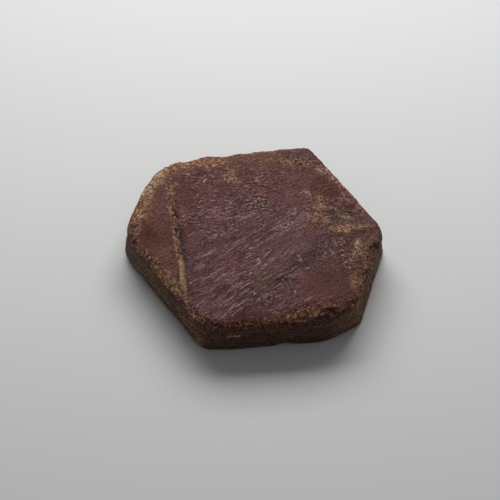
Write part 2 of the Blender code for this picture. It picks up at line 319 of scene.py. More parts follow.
# %% [markdown]
# ## A fine six-sided lattice
#
# The mesh starts as a sharp hexagonal plate. A subdivided cylinder would bunch its triangles at the
# middle, so rings of 6, 12, 18 ... points fill the top with even ones. Rows of points go down the sides
# and a little way under, and the underside, which lies flat on the floor, has half as many points. The
# rings are close enough for grit and growth lines to be real geometry.

# %% The sharp plate
RINGS = 118
UNDER_ROWS = 6
SIDE_ROWS = 44
UNDER_SPACING = 0.010
UNDER_GAP = 1.5


def hexagon_corners():
    """Where each prism face meets the next, counter-clockwise."""
    corners = []
    for face, following in zip(PRISM_FACES, PRISM_FACES[1:] + PRISM_FACES[:1]):
        sides = np.array((plan_direction(face.heading), plan_direction(following.heading)))
        corners.append(np.linalg.solve(sides, (face.distance, following.distance)))
    return np.array(corners[::-1])


def ring_of(count):
    """A six-sided ring on the plate's rim with this many points along each side."""
    corners = hexagon_corners()
    share = (np.arange(count) / count)[:, None]
    sides = [a + (b - a) * share for a, b in zip(corners, np.roll(corners, -1, axis=0))]
    return np.concatenate(sides)


def disc(rings, height, scale):
    """The points and upward triangles of a filled hexagon; the last 6 x rings points are its rim."""
    points = [(0.0, 0.0, height)]
    for ring in range(1, rings + 1):
        points += [(x, y, height) for x, y in (ring_of(ring) * (scale * ring / rings)).tolist()]
    triangles = []
    for ring in range(1, rings + 1):
        outer = 1 + 3 * ring * (ring - 1)
        inner = max(outer - 6 * (ring - 1), 0)
        around, inside = 6 * ring, max(6 * (ring - 1), 1)
        for place in range(around):
            side, step = divmod(place, ring)
            beside = inner + (side * (ring - 1) + step) % inside
            triangles.append((outer + place, outer + (place + 1) % around, beside))
            if step:
                before = inner + (side * (ring - 1) + step - 1) % inside
                triangles.append((outer + place, beside, before))
    return points, triangles


def sharp_plate():
    """The closed plate: its top, rows of points down its sides and under its edge, and its underside."""
    points, triangles = disc(RINGS, THICKNESS, 1.0)
    around = 6 * RINGS
    above = len(points) - around
    levels = [(1.0, THICKNESS * (1.0 - row / SIDE_ROWS)) for row in range(1, SIDE_ROWS + 1)]
    levels += [(1.0 - UNDER_SPACING * row, 0.0) for row in range(1, UNDER_ROWS + 1)]
    for scale, height in levels:
        below = len(points)
        points += [(x, y, height) for x, y in (ring_of(RINGS) * scale).tolist()]
        for place in range(around):
            after = (place + 1) % around
            triangles.append((below + place, below + after, above + after))
            triangles.append((below + place, above + after, above + place))
        above = below
    under, under_triangles = disc(RINGS // 2, 0.0, 1.0 - UNDER_SPACING * (UNDER_ROWS + UNDER_GAP))
    first = len(points)
    rim = first + len(under) - around // 2
    points += under
    triangles += [(first + a, first + c, first + b) for a, b, c in under_triangles]
    for place in range(around // 2):
        inner, inner_next = rim + place, rim + (place + 1) % (around // 2)
        outer = [above + (2 * place + step) % around for step in range(3)]
        triangles.append((outer[1], outer[0], inner))
        triangles.append((inner_next, outer[1], inner))
        triangles.append((outer[2], outer[1], inner_next))
    return np.array(points), np.array(triangles)


sharp_points, triangles = sharp_plate()
print(len(sharp_points), "points and", len(triangles), "triangles in the sharp plate")

# %% [markdown]
# ## Wearing the plate down
#
# A shrinkwrap needs a target mesh, and the worn surface is only a formula. So each point slides along a
# straight line out of the stone's core until it meets that surface, found by halving the line again and
# again, for all points at once. The slow noises are worked out afresh in each round at the place found so
# far, which soon settles. Last, the base is shaved flat, so that the stone rests on a face.

# %% Slide every point onto the worn surface
CORE_SHARE = 0.8
CORE_HEIGHTS = (0.4 * THICKNESS, 0.6 * THICKNESS)
SEARCH_REACH = 1.3
SEARCH_ROUNDS = ((SEARCH_REACH, 14), (0.1, 10), (0.03, 9))
REST_SHAVE = 0.06


def core_points(points):
    """The point of the core that each point of the surface looks back to."""
    reach = np.max([points[:, :2] @ plan_direction(f.heading) / f.distance for f in PRISM_FACES], axis=0)
    share = np.minimum(1.0, CORE_SHARE / np.maximum(reach, CORE_SHARE))
    heights = np.clip(points[:, 2], *CORE_HEIGHTS)
    return np.column_stack((points[:, :2] * share[:, None], heights))


def worn_points(points):
    """Each point, slid along the line from its core point onto the worn surface."""
    core = core_points(points)
    reach = points - core
    found = np.full(len(points), 1.0)
    for span, halvings in SEARCH_ROUNDS:
        slow = slow_noise(core + reach * found[:, None])
        low = np.maximum(found - span, 0.0)
        high = np.minimum(found + span, SEARCH_REACH)
        for _ in range(halvings):
            middle = (low + high) / 2
            is_out = outside(core + reach * middle[:, None], slow) > 0.0
            high = np.where(is_out, middle, high)
            low = np.where(is_out, low, middle)
        found = low
    return core + reach * found[:, None]


worn = worn_points(sharp_points)
worn[:, 2] = np.maximum(worn[:, 2], REST_SHAVE) - REST_SHAVE
print("the worn plate measures", (worn.max(axis=0) - worn.min(axis=0)).round(2), "mm")

# %% [markdown]
# ## Which way the surface looks
#
# Relief is pushed in and out along the surface's own normal, and much of the finish depends on how steep
# the stone is: dust stays on flats, grit in worn edges. A point's normal is the sum of its triangles'
# normals.

# %% Normals of a bare mesh
TINY = 1e-9
TOP_UPNESS = (0.75, 0.97)
UNDER_UPNESS = (-0.4, -0.8)


def normals_of(points, faces):
    """The direction at each point that its triangles look in together, one unit long."""
    a, b, c = (points[faces[:, corner]] for corner in range(3))
    facing = np.cross(b - a, c - a)
    total = np.stack(
        [
            sum(np.bincount(faces[:, corner], facing[:, axis], len(points)) for corner in range(3))
            for axis in range(3)
        ],
        axis=1,
    )
    return total / np.maximum(np.linalg.norm(total, axis=1), TINY)[:, None]


smooth_normals = normals_of(worn, triangles)
upness = smooth_normals[:, 2]
on_top = smooth_step(*TOP_UPNESS, upness)
under = smooth_step(*UNDER_UPNESS, upness)
on_side = np.clip(1.0 - on_top - under, 0.0, 1.0)
print(f"{on_top.mean():.0%} of the points lie on the top, {on_side.mean():.0%} on the sides")

# %% [markdown]
# ## Where things are: patches and paths
#
# Stains and rough places have soft, ragged borders. They could be painted by hand, but then nobody could
# read off or correct where they are. A patch is an ellipse in plan with a border that wanders, and a band
# runs along a path through a few points. Both give a share from 0 to 1 at every point. The wandering is
# one pair of noises shared by all, so neighbouring stains stay next to each other.

# %% Patches and paths
WANDER = ((0.55, 2.4), (0.3, 0.8))
WANDER_SEEDS = (11.3, 47.9)
PATCH_RAGGEDNESS = 2.0
STEEPNESS = (0.2, 0.5)
RIM_BELOW_TOP = (0.97, 0.8)
RIM_ABOVE_SIDE = (0.05, 0.5)
plan = worn[:, :2]
wander = sum(
    reach * np.column_stack([lumps(worn, width, seed) for seed in WANDER_SEEDS]) for reach, width in WANDER
)
ragged_plan = plan + PATCH_RAGGEDNESS * wander


def patch(centre, half_size, heading=0.0, border=0.35):
    """1 inside an ellipse in plan, 0 outside it, with a ragged border of this share of its size."""
    along = plan_direction(heading)
    across = np.array((-along[1], along[0]))
    offset = ragged_plan - centre
    reach = np.hypot(offset @ along / half_size[0], offset @ across / half_size[1])
    return 1.0 - smooth_step(1.0 - border, 1.0 + border, reach)


def band(path, half_width, border=0.4, raggedness=1.0):
    """1 along a path in plan, 0 further from it than about its half width."""
    distance = distance_to_path(plan + raggedness * wander, path)
    return 1.0 - smooth_step(1.0 - border, 1.0 + border, distance / half_width)


def facing(heading, spread=50.0):
    """1 where a steep surface looks this way in plan, falling to 0 at the spread in degrees."""
    steepness = np.maximum(np.linalg.norm(smooth_normals[:, :2], axis=1), TINY)
    agreement = smooth_normals[:, :2] @ plan_direction(heading) / steepness
    turn = np.degrees(np.arccos(np.clip(agreement, -1.0, 1.0)))
    return (1.0 - smooth_step(0.5 * spread, spread, turn)) * smooth_step(*STEEPNESS, steepness)


rim = smooth_step(*RIM_BELOW_TOP, upness) * smooth_step(*RIM_ABOVE_SIDE, upness)
print(f"{(rim > 0.5).mean():.0%} of the points lie on the worn rim")

# %% [markdown]
# ## Fine relief
#
# Several kinds of roughness cover the stone. Growth lines are thin parallel ridges that cross the front of
# the top, ripples are shorter, wavier ones behind them, and streaks cross the lens: all three are noise
# whose lumps are drawn out into threads. Grit is what wear leaves on the rims and in the stains: small
# sharp noise. Ribs are the fine layers of the walls, and they run level. Each is worked out once, from
# about -1 to 1, because the colours follow the same highs and lows. A displacement texture couldn't share
# them.

# %% Threads, grit and ribs
GROWTH_HEADING = 24.5
RIPPLE_HEADING = 2.0
LENS_HEADING = -28.0
GROWTH_THREADS = ((0.4, (2.4, 0.5)), (0.6, (1.3, 0.3)))
RIPPLE_THREADS = ((0.4, (1.3, 0.6)), (0.6, (0.7, 0.34)))
LENS_THREADS = ((1.0, (3.0, 0.42)),)
THREAD_DEPTH = 4.0
THREAD_WANDER = 0.5
GRIT = ((0.4, 1.0), (0.34, 0.52), (0.26, 0.3))
RIBS = ((0.6, (3.5, 3.5, 0.34)), (0.4, (1.6, 1.6, 0.24)))
FULL_RANGE = 2.5


def turned(points, heading):
    """The points in axes that run along and across this heading."""
    along = plan_direction(heading)
    across = np.array((-along[1], along[0]))
    return np.column_stack((points[:, :2] @ along, points[:, :2] @ across, points[:, 2]))


def threads_of(heading, layers, seed):
    """Thin ridges and grooves along a heading, in layers of a share and a thread's length and width."""
    there = turned(worn + THREAD_WANDER * np.column_stack((wander, np.zeros(len(worn)))), heading)
    return sum(
        share * FULL_RANGE * lumps(there, (*size, THREAD_DEPTH), seed + size[0]) for share, size in layers
    )


growth = threads_of(GROWTH_HEADING, GROWTH_THREADS, 3.1)
ripple = threads_of(RIPPLE_HEADING, RIPPLE_THREADS, 13.7)
streak = threads_of(LENS_HEADING, LENS_THREADS, 23.3)
grit = sum(share * FULL_RANGE * lumps(worn, width, 5.0 + width) for share, width in GRIT)
ribs = sum(share * FULL_RANGE * lumps(worn, size, 8.2) for share, size in RIBS)
print("spread of the threads", growth.std().round(2), "and of the grit", grit.std().round(2))

# %% [markdown]
# ## Where each roughness lies
#
# The growth lines are plainest across the front of the top, and they come in clusters with quieter stone
# between them. The ripples take over behind them, and a few places are smooth: the raised strip, the basin
# at the front right, the front end of the seam. Each kind gets a share at every point, put together from
# patches, so that one place can be corrected without touching the rest.

# %% Lined, rippled, streaked and smooth places
CLUSTER_SIZE = (3.4, 2.4, 3.0)
CLUSTER_STEP = (-0.22, 0.2)

front_of_top = patch((-2.5, -7.5), (12.0, 8.6), 14.0)
clusters = smooth_step(*CLUSTER_STEP, lumps(worn, CLUSTER_SIZE, 61.0))
streaked = patch(tuple(LENS_CENTRE), (3.3, 1.7), -20.0)
calm = np.maximum.reduce(
    [
        0.85 * patch((-17.0, 2.5), (2.6, 7.5), 84.0, 0.25),
        0.7 * patch((10.0, -10.8), (4.6, 2.2), 14.0),
        0.7 * patch((-11.0, 10.0), (1.9, 3.0)),
        0.4 * patch((7.0, -2.0), (3.4, 2.0), 8.0),
        0.5 * patch((0.6, -9.4), (2.2, 1.4), 20.0),
        0.5 * patch((8.2, -6.3), (2.6, 0.9), 14.0),
        patch((-13.3, -6.0), (0.5, 2.6)),
        0.8 * patch((-16.3, -9.7), (1.9, 1.1), -60.0),
    ]
)
lined = on_top * (0.25 + 0.75 * front_of_top) * (0.4 + 0.6 * clusters) * (1.0 - calm)
rippled = on_top * (0.35 + 0.65 * patch((-4.5, 8.0), (9.5, 7.0))) * (1.0 - 0.7 * front_of_top)
rippled *= (1.0 - calm) * (1.0 - 0.5 * patch((-5.5, 11.2), (3.6, 2.2)))
print(f"{(calm > 0.5).mean():.0%} of the points lie in smooth places")

# %% [markdown]
# Grit gathers where the stone is worn or dirty: on the rims and the walls, at the corner at the back
# right, down the right side, and in the mica patch. The smooth places have less of it than the rest.

# %% Gritty places
GRIT_LIMITS = (0.04, 1.3)

grit_share = np.clip(
    0.3
    + 0.4 * rim
    + 0.35 * on_side
    + 0.5 * patch((10.5, 14.0), (4.2, 2.2), -10.0)
    + 0.6 * patch((17.0, -7.0), (3.2, 7.5), 8.0)
    + 0.6 * patch((11.0, -15.4), (7.0, 1.5), 0.0)
    + 0.5 * patch((-12.6, -13.4), (3.4, 3.0), -40.0)
    + 0.5 * patch((2.1, 6.8), (1.9, 1.8), 0.0)
    + 0.35 * patch((13.6, 6.0), (3.4, 4.2), 60.0)
    - 0.6 * calm,
    *GRIT_LIMITS,
)
print(f"the grit is {grit_share.mean():.2f} of its full height on average")

# %% [markdown]
# The heights are small: a tenth of a millimetre at the grittiest places, and half of that along the growth
# lines. Low light makes even that easy to see.

# %% Heights of the roughness
LINE_HEIGHT = 0.045
RIPPLE_HEIGHT = 0.05
STREAK_HEIGHT = 0.05
GRIT_HEIGHT = 0.09
RIB_HEIGHT = 0.05
RIM_LOSS = 0.04

relief = LINE_HEIGHT * growth * lined + RIPPLE_HEIGHT * ripple * rippled
relief += STREAK_HEIGHT * streak * streaked + GRIT_HEIGHT * grit * grit_share
relief += RIB_HEIGHT * ribs * on_side - RIM_LOSS * rim
print(f"the relief runs from {relief.min():.2f} to {relief.max():.2f} mm")

# %% [markdown]
# ## The mesh of the stone
#
# The relief goes on along the normals and fades out where the stone rests on its base. A displace modifier
# would do the same, but the later cells need the relief as numbers. The result is moved and, if need be,
# drawn in a little so that it fits the solid's box.

# %% Build the stone's mesh
REST_HEIGHT = 0.35
SAMPLE_STEP = 37


def fit_to_box(points):
    """Moves the middle of the points' box onto the solid's, and draws them in where they would pass it."""
    low, high = points.min(axis=0), points.max(axis=0)
    squeeze = np.minimum(1.0, np.array(cad_size) / (high - low))
    squeeze[2] = min(1.0, cad_size.z / high[2])
    middle = (low[:2] + high[:2]) / 2
    moved = points - np.append(middle, 0.0)
    print("moved by", -middle.round(2), "mm and drawn in by", ((1.0 - squeeze) * 100).round(2), "%")
    return moved * squeeze + np.append(np.array(cad_middle)[:2], 0.0)


lift = smooth_step(0.0, REST_HEIGHT, worn[:, 2]) * (1.0 - under)
shaped = worn + smooth_normals * (relief * lift)[:, None]
shaped[:, 2] = np.maximum(shaped[:, 2], 0.0)
shaped = fit_to_box(shaped)

stone_mesh = bpy.data.meshes.new("ruby_stone")
stone_mesh.from_pydata((shaped * MM).tolist(), [], triangles.tolist())
stone_mesh.validate()
stone_mesh.shade_smooth()
stone = bpy.data.objects.new("ruby_stone", stone_mesh)
bpy.context.scene.collection.objects.link(stone)

solid_tree = BVHTree.FromObject(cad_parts["ruby_crystal"], bpy.context.evaluated_depsgraph_get())
samples = (shaped[::SAMPLE_STEP] * MM).tolist()
gaps = [solid_tree.find_nearest(Vector(point))[3] / MM for point in samples]
print(f"the stone stays within {max(gaps):.2f} mm of the solid, {sum(gaps) / len(gaps):.3f} mm on average")

# %% [markdown]
# ## Colours
#
# Under its dirt the stone is a dull plum. Iron has turned it rust brown towards the edges, ochre clay
# fills the rough places, and a faint lilac sheen is painted where the surface is smooth. Brushwork on a
# texture would need an image, so each point of the mesh carries its own colour instead, and the mesh is
# fine enough for single specks. The palette is in linear RGB. Each mark lays one of its colours over what
# is already there, weighted by a patch; most marks are stains, and some are painted highlights and shade.

# %% Palette
PLUM = (0.104, 0.042, 0.046)
MAUVE = (0.130, 0.056, 0.062)
# partly the stone's own lilac, partly a painted sheen
LILAC_AND_SHEEN = (0.138, 0.066, 0.086)
WINE = (0.106, 0.033, 0.031)
MAROON = (0.108, 0.040, 0.031)
UMBER = (0.086, 0.039, 0.024)
SLATE = (0.072, 0.034, 0.032)
MOSS = (0.092, 0.062, 0.048)
GREY_GREEN = (0.200, 0.150, 0.100)
OLIVE = (0.125, 0.073, 0.046)
BARK = (0.064, 0.030, 0.022)
SOOT = (0.030, 0.014, 0.008)
BLOOD = (0.066, 0.017, 0.011)
RUST = (0.150, 0.052, 0.026)
EMBER = (0.190, 0.074, 0.042)
BRICK = (0.145, 0.062, 0.040)
ROSE = (0.230, 0.105, 0.085)
CLAY = (0.170, 0.096, 0.058)
DUN = (0.118, 0.063, 0.046)
OCHRE = (0.240, 0.140, 0.060)
TAN = (0.340, 0.195, 0.108)
STRAW = (0.345, 0.215, 0.116)
GOLD = (0.270, 0.160, 0.078)
CREAM = (0.370, 0.250, 0.160)
# painted highlight on the ridges of the threads
RIDGE_HIGHLIGHT = (0.200, 0.102, 0.104)
# painted shade in the grooves and beside the scratches; also one dark stain at the front
SHADE_AND_DARK_STAIN = (0.056, 0.023, 0.024)
GARNET = (0.080, 0.028, 0.020)
# painted glints; also the pale scratch on the front wall
GLINT_AND_SCRATCH_WHITE = (0.420, 0.310, 0.270)
PINK = (0.270, 0.160, 0.150)
# painted highlight along the scratches
SCRATCH_HIGHLIGHT = (0.330, 0.205, 0.200)
# painted sheen, laid in specks
SHEEN_SPECK = (0.300, 0.220, 0.255)

tint = np.tile(np.array(PLUM), (len(worn), 1))


def lay(colour, share):
    """Lays a colour over the stone, as thickly as the share says."""
    tint[:] += (np.array(colour) - tint) * np.clip(share, 0.0, 1.0)[:, None]


def speckle(share, pale, dark, width, seed, bias=0.0):
    """Breaks a zone up into pale specks and dark pits of this width; the bias makes one of them rarer."""
    specks = 2.0 * lumps(worn, width, seed) + 1.2 * lumps(worn, 0.45 * width, seed + 3.0) + bias
    lay(pale, share * smooth_step(0.1, 0.5, specks))
    lay(dark, share * smooth_step(-0.1, -0.5, specks))


print("the bare stone is", PLUM)

# %% [markdown]
# ## Stains on the top
#
# From the broad to the small, as dirt settled on a real stone. The plum is lighter in the middle, with a
# painted lilac sheen, and browner towards the back; the raised strip on the left is red-brown all over.

# %% Broad stains in the middle, at the back and on the strip
lay(MAUVE, 0.8 * patch((-3.5, 5.5), (6.0, 3.4), 10.0, 0.6))
lay(MAUVE, 0.75 * patch((6.6, -2.2), (4.4, 2.4), 8.0, 0.35))
# painted sheen in the middle, over part of the stone's own lilac
lay(LILAC_AND_SHEEN, 0.6 * patch((6.2, 1.2), (2.6, 1.2), 10.0, 0.5))
lay(MAROON, 0.75 * patch((-4.5, 11.5), (8.0, 3.6), 0.0, 0.5))
lay(WINE, 0.75 * patch((-8.0, 11.6), (3.4, 2.2), 0.0, 0.6))
lay(MAROON, 0.8 * patch((8.0, 9.0), (6.5, 5.0), 0.0, 0.6))
lay(PLUM, 0.7 * patch((7.0, 6.9), (2.8, 2.4), 0.0, 0.6))
lay(MAROON, 0.6 * patch((-11.6, 3.4), (2.0, 4.0), 0.0, 0.5))
lay(WINE, 0.9 * patch((-11.2, 10.2), (2.3, 2.5), 0.0, 0.5))
lay(MAROON, 0.95 * patch((-17.4, 2.6), (3.6, 10.5), 4.0, 0.25))
lay(BRICK, 0.45 * patch((-17.0, 3.4), (2.4, 5.5), 6.0, 0.6))
lay(BRICK, 0.75 * patch((1.0, 15.4), (7.5, 1.8), 0.0, 0.4))
lay(BRICK, 0.6 * patch((5.5, 13.8), (3.6, 1.0), 0.0, 0.5))
print("tint runs from", tint.min(axis=0).round(3), "to", tint.max(axis=0).round(3))

# %% [markdown]
# Towards the front the plum turns to wine, and towards the right to brown. A red-brown basin lies at the
# front right, with a painted shadow behind it, a dark band that follows the growth step.

# %% Broad stains at the front and on the right
STEP_SHADOW = ((-0.6, -12.6), (3.6, -9.0), (8.0, -6.4), (13.2, -2.6))

lay(WINE, 0.5 * patch((-5.0, -14.0), (5.5, 1.4), 12.0, 0.6))
lay(BLOOD, 0.4 * patch((0.0, -13.4), (3.2, 1.8), 12.0, 0.6))
lay(WINE, 0.45 * patch((-5.6, -11.6), (2.4, 1.4), 12.0, 0.6))
lay(UMBER, 0.85 * patch((13.5, -6.0), (5.0, 3.4), 20.0, 0.5))
lay(MAROON, 0.7 * patch((12.4, 1.0), (3.2, 2.4), 0.0, 0.5))
lay(UMBER, 0.75 * patch((17.5, -2.5), (4.0, 5.5), 0.0, 0.4))
lay(GARNET, 0.9 * patch((14.8, 7.4), (2.9, 2.6), -50.0, 0.4))
lay(DUN, 0.9 * patch((0.6, -9.4), (2.6, 1.8), 20.0, 0.5))
lay(SHADE_AND_DARK_STAIN, 0.4 * patch((-3.6, -12.4), (3.6, 1.7), 12.0, 0.5))
# painted shadow along the growth step
lay(SLATE, 0.6 * band(STEP_SHADOW, 1.6, 0.7))
lay(MAROON, 0.9 * patch((10.3, -10.6), (5.0, 2.9), 12.0, 0.3))
lay(UMBER, 0.5 * patch((13.2, -9.6), (2.6, 1.0), 0.0, 0.5))
print("tint runs from", tint.min(axis=0).round(3), "to", tint.max(axis=0).round(3))

# %% [markdown]
# The same threads that shape the surface are painted with light and shade: a painted highlight on the
# ridges and painted shade in the grooves. The material could find ridges by their curvature, but the noises
# are already at hand. A broad mottling, a little lighter on the highs of the grit and darker in its lows,
# goes over everything except the smooth places.

# %% Painted light and shade on the threads, and the mottling
MOTTLE_WIDTH = 3.2

# painted highlight on the ridges and painted shade in the grooves
lay(RIDGE_HIGHLIGHT, 0.4 * lined * smooth_step(0.3, 0.9, growth))
lay(SHADE_AND_DARK_STAIN, 0.4 * lined * smooth_step(-0.2, -0.9, growth))
lay(RIDGE_HIGHLIGHT, 0.3 * rippled * smooth_step(0.2, 0.8, ripple))
lay(SHADE_AND_DARK_STAIN, 0.4 * rippled * smooth_step(-0.15, -0.8, ripple))
mottle = (0.4 * lumps(worn, MOTTLE_WIDTH, 31.0) + 0.2 * grit) * (1.0 - 0.65 * calm)
tint *= np.exp(mottle)[:, None]
print(f"the mottling varies the tint by {np.exp(mottle.std()) - 1:.0%}")

# %% [markdown]
# ## Scratches, painted glints and cracks
#
# A real scratch has a bright lip and a shaded side. At a tenth of a millimetre across, both are painted in
# colour: a pale line of painted highlight with a dark line of painted shade in front of it. The plainest
# scratches are placed one by one, and finer ones are drawn at random along the growth lines, always in the
# same order. Glints are small spots of painted highlight, and two dark cracks run across the top, one near
# the back and one at the front.

# %% Scratches
SCRATCHES = (
    ((-6.1, -7.1), (-4.0, -6.3)),
    ((-5.9, -10.0), (-3.0, -8.5)),
    ((-7.3, -14.2), (-2.6, -11.9)),
    ((-6.0, -14.5), (-3.9, -13.4)),
    ((-8.1, -15.0), (-6.8, -14.2)),
    ((-10.0, -7.1), (-7.3, -6.1)),
    ((-11.2, -5.0), (-9.2, -4.2)),
    ((-3.7, -9.7), (-2.0, -8.9)),
    ((-3.8, -10.9), (-2.2, -10.0)),
    ((-9.4, -2.6), (-6.8, -1.4)),
    ((0.9, -14.7), (3.4, -13.3)),
    ((-2.2, 3.6), (2.2, 5.3)),
    ((10.3, 2.9), (12.7, 1.2)),
)
SCRATCH_WIDTH = 0.115
SCRATCH_STRENGTH = 0.75
SHADE_REACH = 1.6 * SCRATCH_WIDTH
FINE_SCRATCHES = 90
FINE_FIELD = ((-12.0, 8.0), (-15.5, 2.5))
FINE_LENGTHS = (0.7, 2.6)
FINE_STRENGTHS = (0.15, 0.7)
HEADING_SPREAD = 5.0


def scratch(start, end, strength):
    """A pale line of painted highlight with a dark one of painted shade on its front side."""
    across = np.array((start[1] - end[1], end[0] - start[0])) / math.dist(start, end)
    shade = (start - SHADE_REACH * across, end - SHADE_REACH * across)
    lay(SHADE_AND_DARK_STAIN, 0.8 * strength * band(shade, SCRATCH_WIDTH, 0.7, 0.0))
    lay(SCRATCH_HIGHLIGHT, strength * band((start, end), SCRATCH_WIDTH, 0.7, 0.0))


for start, end in SCRATCHES:
    scratch(np.array(start), np.array(end), SCRATCH_STRENGTH)
draw = random.Random(11)
for _ in range(FINE_SCRATCHES):
    start = np.array([draw.uniform(*limits) for limits in FINE_FIELD])
    reach = draw.uniform(*FINE_LENGTHS) * plan_direction(draw.gauss(GROWTH_HEADING, HEADING_SPREAD))
    scratch(start, start + reach, draw.uniform(*FINE_STRENGTHS))
print(len(SCRATCHES), "placed scratches and", FINE_SCRATCHES, "fine ones")

# %% Painted glints and cracks
PAINTED_GLINTS = (
    (-11.6, -7.5), (-7.5, -2.0), (-5.3, -9.5), (-1.6, -7.5), (-7.2, -15.2), (-11.5, -14.0), (-6.9, 13.1),
    (-9.4, 14.1), (2.2, 5.6), (1.5, 5.5), (0.9, 6.6), (8.1, -7.4), (7.4, -5.4), (15.6, -7.6), (16.6, -7.2),
    (15.5, -5.5), (12.7, -4.8), (1.9, -12.0), (5.9, -12.0), (2.1, -15.7), (11.2, 6.9), (10.6, 2.4),
    (7.5, 3.9), (17.7, -4.0), (-1.4, -11.2), (0.6, -4.3), (-1.0, -1.9), (-6.6, 1.9),
)
PAINTED_GLINT_SIZE = (0.3, 0.21)
FRONT_CRACK = ((-1.0, -15.9), (2.4, -14.2), (6.1, -12.5))
BACK_CRACK = ((0.9, 11.5), (6.4, 7.7))

# painted glints: small spots of painted highlight
for place in PAINTED_GLINTS:
    lay(GLINT_AND_SCRATCH_WHITE, 0.8 * patch(np.array(place), PAINTED_GLINT_SIZE, GROWTH_HEADING, 0.7))
lay(SOOT, 0.5 * band(FRONT_CRACK, 0.25, 0.7))
lay(SOOT, 0.5 * band(BACK_CRACK, 0.2, 0.7, 0.3))
print(len(PAINTED_GLINTS), "sparks")

# %% [markdown]
# ## Speckled places
#
# Clay, ochre and rust come in specks, not in even coats. A particle system would scatter loose grains, but
# these specks are flat stains, so a fine noise breaks each place up into pale and dark. Each line is one
# place. The first ones are the mica patch behind the middle, whose pale specks are painted glints, the
# painted sheen in specks beside it, and the stained corner at the back right.

# %% Specks in the middle and at the back
speckle(0.6 * patch((2.0, 6.8), (2.0, 1.9), 20.0, 0.4), MOSS, SLATE, 0.6, 8.0)
# the mica's painted glints
speckle(0.85 * patch((2.0, 6.3), (1.7, 1.2), 10.0, 0.5), GLINT_AND_SCRATCH_WHITE, SOOT, 0.4, 9.0, -0.4)
# painted sheen in specks, beside the mica
speckle(0.8 * patch((7.2, 1.9), (2.1, 0.7), 15.0, 0.6), SHEEN_SPECK, PLUM, 0.42, 10.0, -0.1)
speckle(0.55 * patch((7.4, 3.4), (1.2, 1.4), 0.0, 0.6), PINK, SLATE, 0.5, 10.5)
lay(UMBER, 0.6 * patch((11.8, 0.2), (1.9, 1.2), 0.0, 0.5))
speckle(0.8 * patch((10.8, 2.7), (1.3, 0.9), -40.0, 0.5), PINK, UMBER, 0.5, 11.0, 0.4)
speckle(0.6 * patch((10.9, 7.4), (1.0, 1.3), 0.0, 0.5), PINK, MAROON, 0.5, 12.0)
speckle(0.65 * patch((10.6, 15.4), (3.8, 0.9), -8.0, 0.4), MOSS, SLATE, 0.7, 13.0)
speckle(0.75 * patch((10.3, 13.7), (2.9, 1.1), -10.0, 0.4), TAN, UMBER, 0.5, 14.0, -0.2)
speckle(0.9 * patch((-2.0, 12.5), (1.3, 1.6), 20.0, 0.4), TAN, UMBER, 0.5, 15.0, 0.5)
speckle(0.5 * patch((-5.4, 13.0), (1.3, 0.7), 0.0, 0.4), TAN, UMBER, 0.45, 16.0, -0.2)
lay(OCHRE, 0.7 * patch((5.1, 14.9), (0.75, 0.5), 0.0, 0.6))
lay(CLAY, 0.6 * patch((7.9, 14.3), (0.7, 0.4), -20.0, 0.6))
print("tint runs from", tint.min(axis=0).round(3), "to", tint.max(axis=0).round(3))

# %% [markdown]
# The vein holds ochre along its crest. The lens beside it is dark, with grey-green streaks that follow its
# threads and a thin line of ochre along its edge.

# %% Specks on the vein and in the lens
VEIN_STAIN = ((13.0, 1.4), (14.4, 0.0), (16.0, -0.9), (18.4, -1.0), (20.4, -1.1))
LENS_EDGE = ((12.4, 3.9), (15.0, 3.8), (16.2, 3.0), (17.5, 2.3))

speckle(0.9 * patch((13.1, 5.3), (0.9, 1.5), 0.0, 0.5), TAN, UMBER, 0.5, 17.0, 0.1)
speckle(0.9 * patch((12.5, 3.6), (0.8, 1.5), 10.0, 0.5), GOLD, SOOT, 0.6, 18.0, 0.35)
speckle(0.85 * patch((16.0, 2.2), (2.9, 1.2), -20.0, 0.4), MOSS, SOOT, 0.6, 19.0)
lay(UMBER, 0.8 * patch((14.7, 2.7), (1.1, 0.8), -20.0, 0.5))
lay(GREY_GREEN, 0.5 * streaked * smooth_step(0.2, 0.8, streak))
lay(SOOT, 0.55 * streaked * smooth_step(-0.15, -0.7, streak))
lay(OCHRE, 0.6 * band(LENS_EDGE, 0.2, 0.8, 0.4))
speckle(0.85 * band(VEIN_STAIN, 0.65, 0.7), GOLD, UMBER, 0.7, 20.0, 0.5)
speckle(0.95 * patch((15.9, -0.9), (1.3, 0.65), -20.0, 0.5), TAN, OCHRE, 0.5, 21.0, 0.4)
print(f"{(streaked > 0.5).sum()} points are streaked")

# %% [markdown]
# The right side is the grittiest: ochre blobs and pink grains in brown. A few grains lie at the front as
# well, and a dark red patch behind the lens is nearly bare.

# %% Specks on the right and at the front
speckle(0.6 * patch((13.4, -4.0), (3.0, 1.9), 20.0, 0.5), PINK, SLATE, 0.5, 22.0, -0.4)
lay(CLAY, 0.45 * patch((18.6, -5.2), (1.8, 1.6), 20.0, 0.5))
speckle(0.9 * patch((18.0, -4.2), (0.75, 0.9), 30.0, 0.5), CREAM, OCHRE, 0.45, 23.0)
lay(UMBER, 0.5 * patch((16.6, -5.0), (0.9, 1.1), 0.0, 0.5))
speckle(0.9 * patch((18.6, -5.9), (1.6, 0.8), -15.0, 0.5), GOLD, UMBER, 0.45, 24.0, 0.3)
speckle(0.5 * patch((16.0, -6.9), (1.6, 1.0), 0.0, 0.5), PINK, BLOOD, 0.5, 25.0, -0.2)
lay(CLAY, 0.6 * patch((16.8, -11.2), (1.3, 1.9), 10.0, 0.5))
speckle(0.9 * patch((16.6, -11.4), (1.2, 1.2), 60.0, 0.5), GOLD, UMBER, 0.5, 26.0, 0.4)
speckle(0.5 * patch((4.0, -9.0), (2.4, 1.3), 30.0, 0.5), PINK, SOOT, 0.45, 27.0, -0.2)
speckle(0.55 * patch((1.2, -12.0), (2.2, 1.1), 20.0, 0.5), PINK, SOOT, 0.45, 28.0, -0.2)
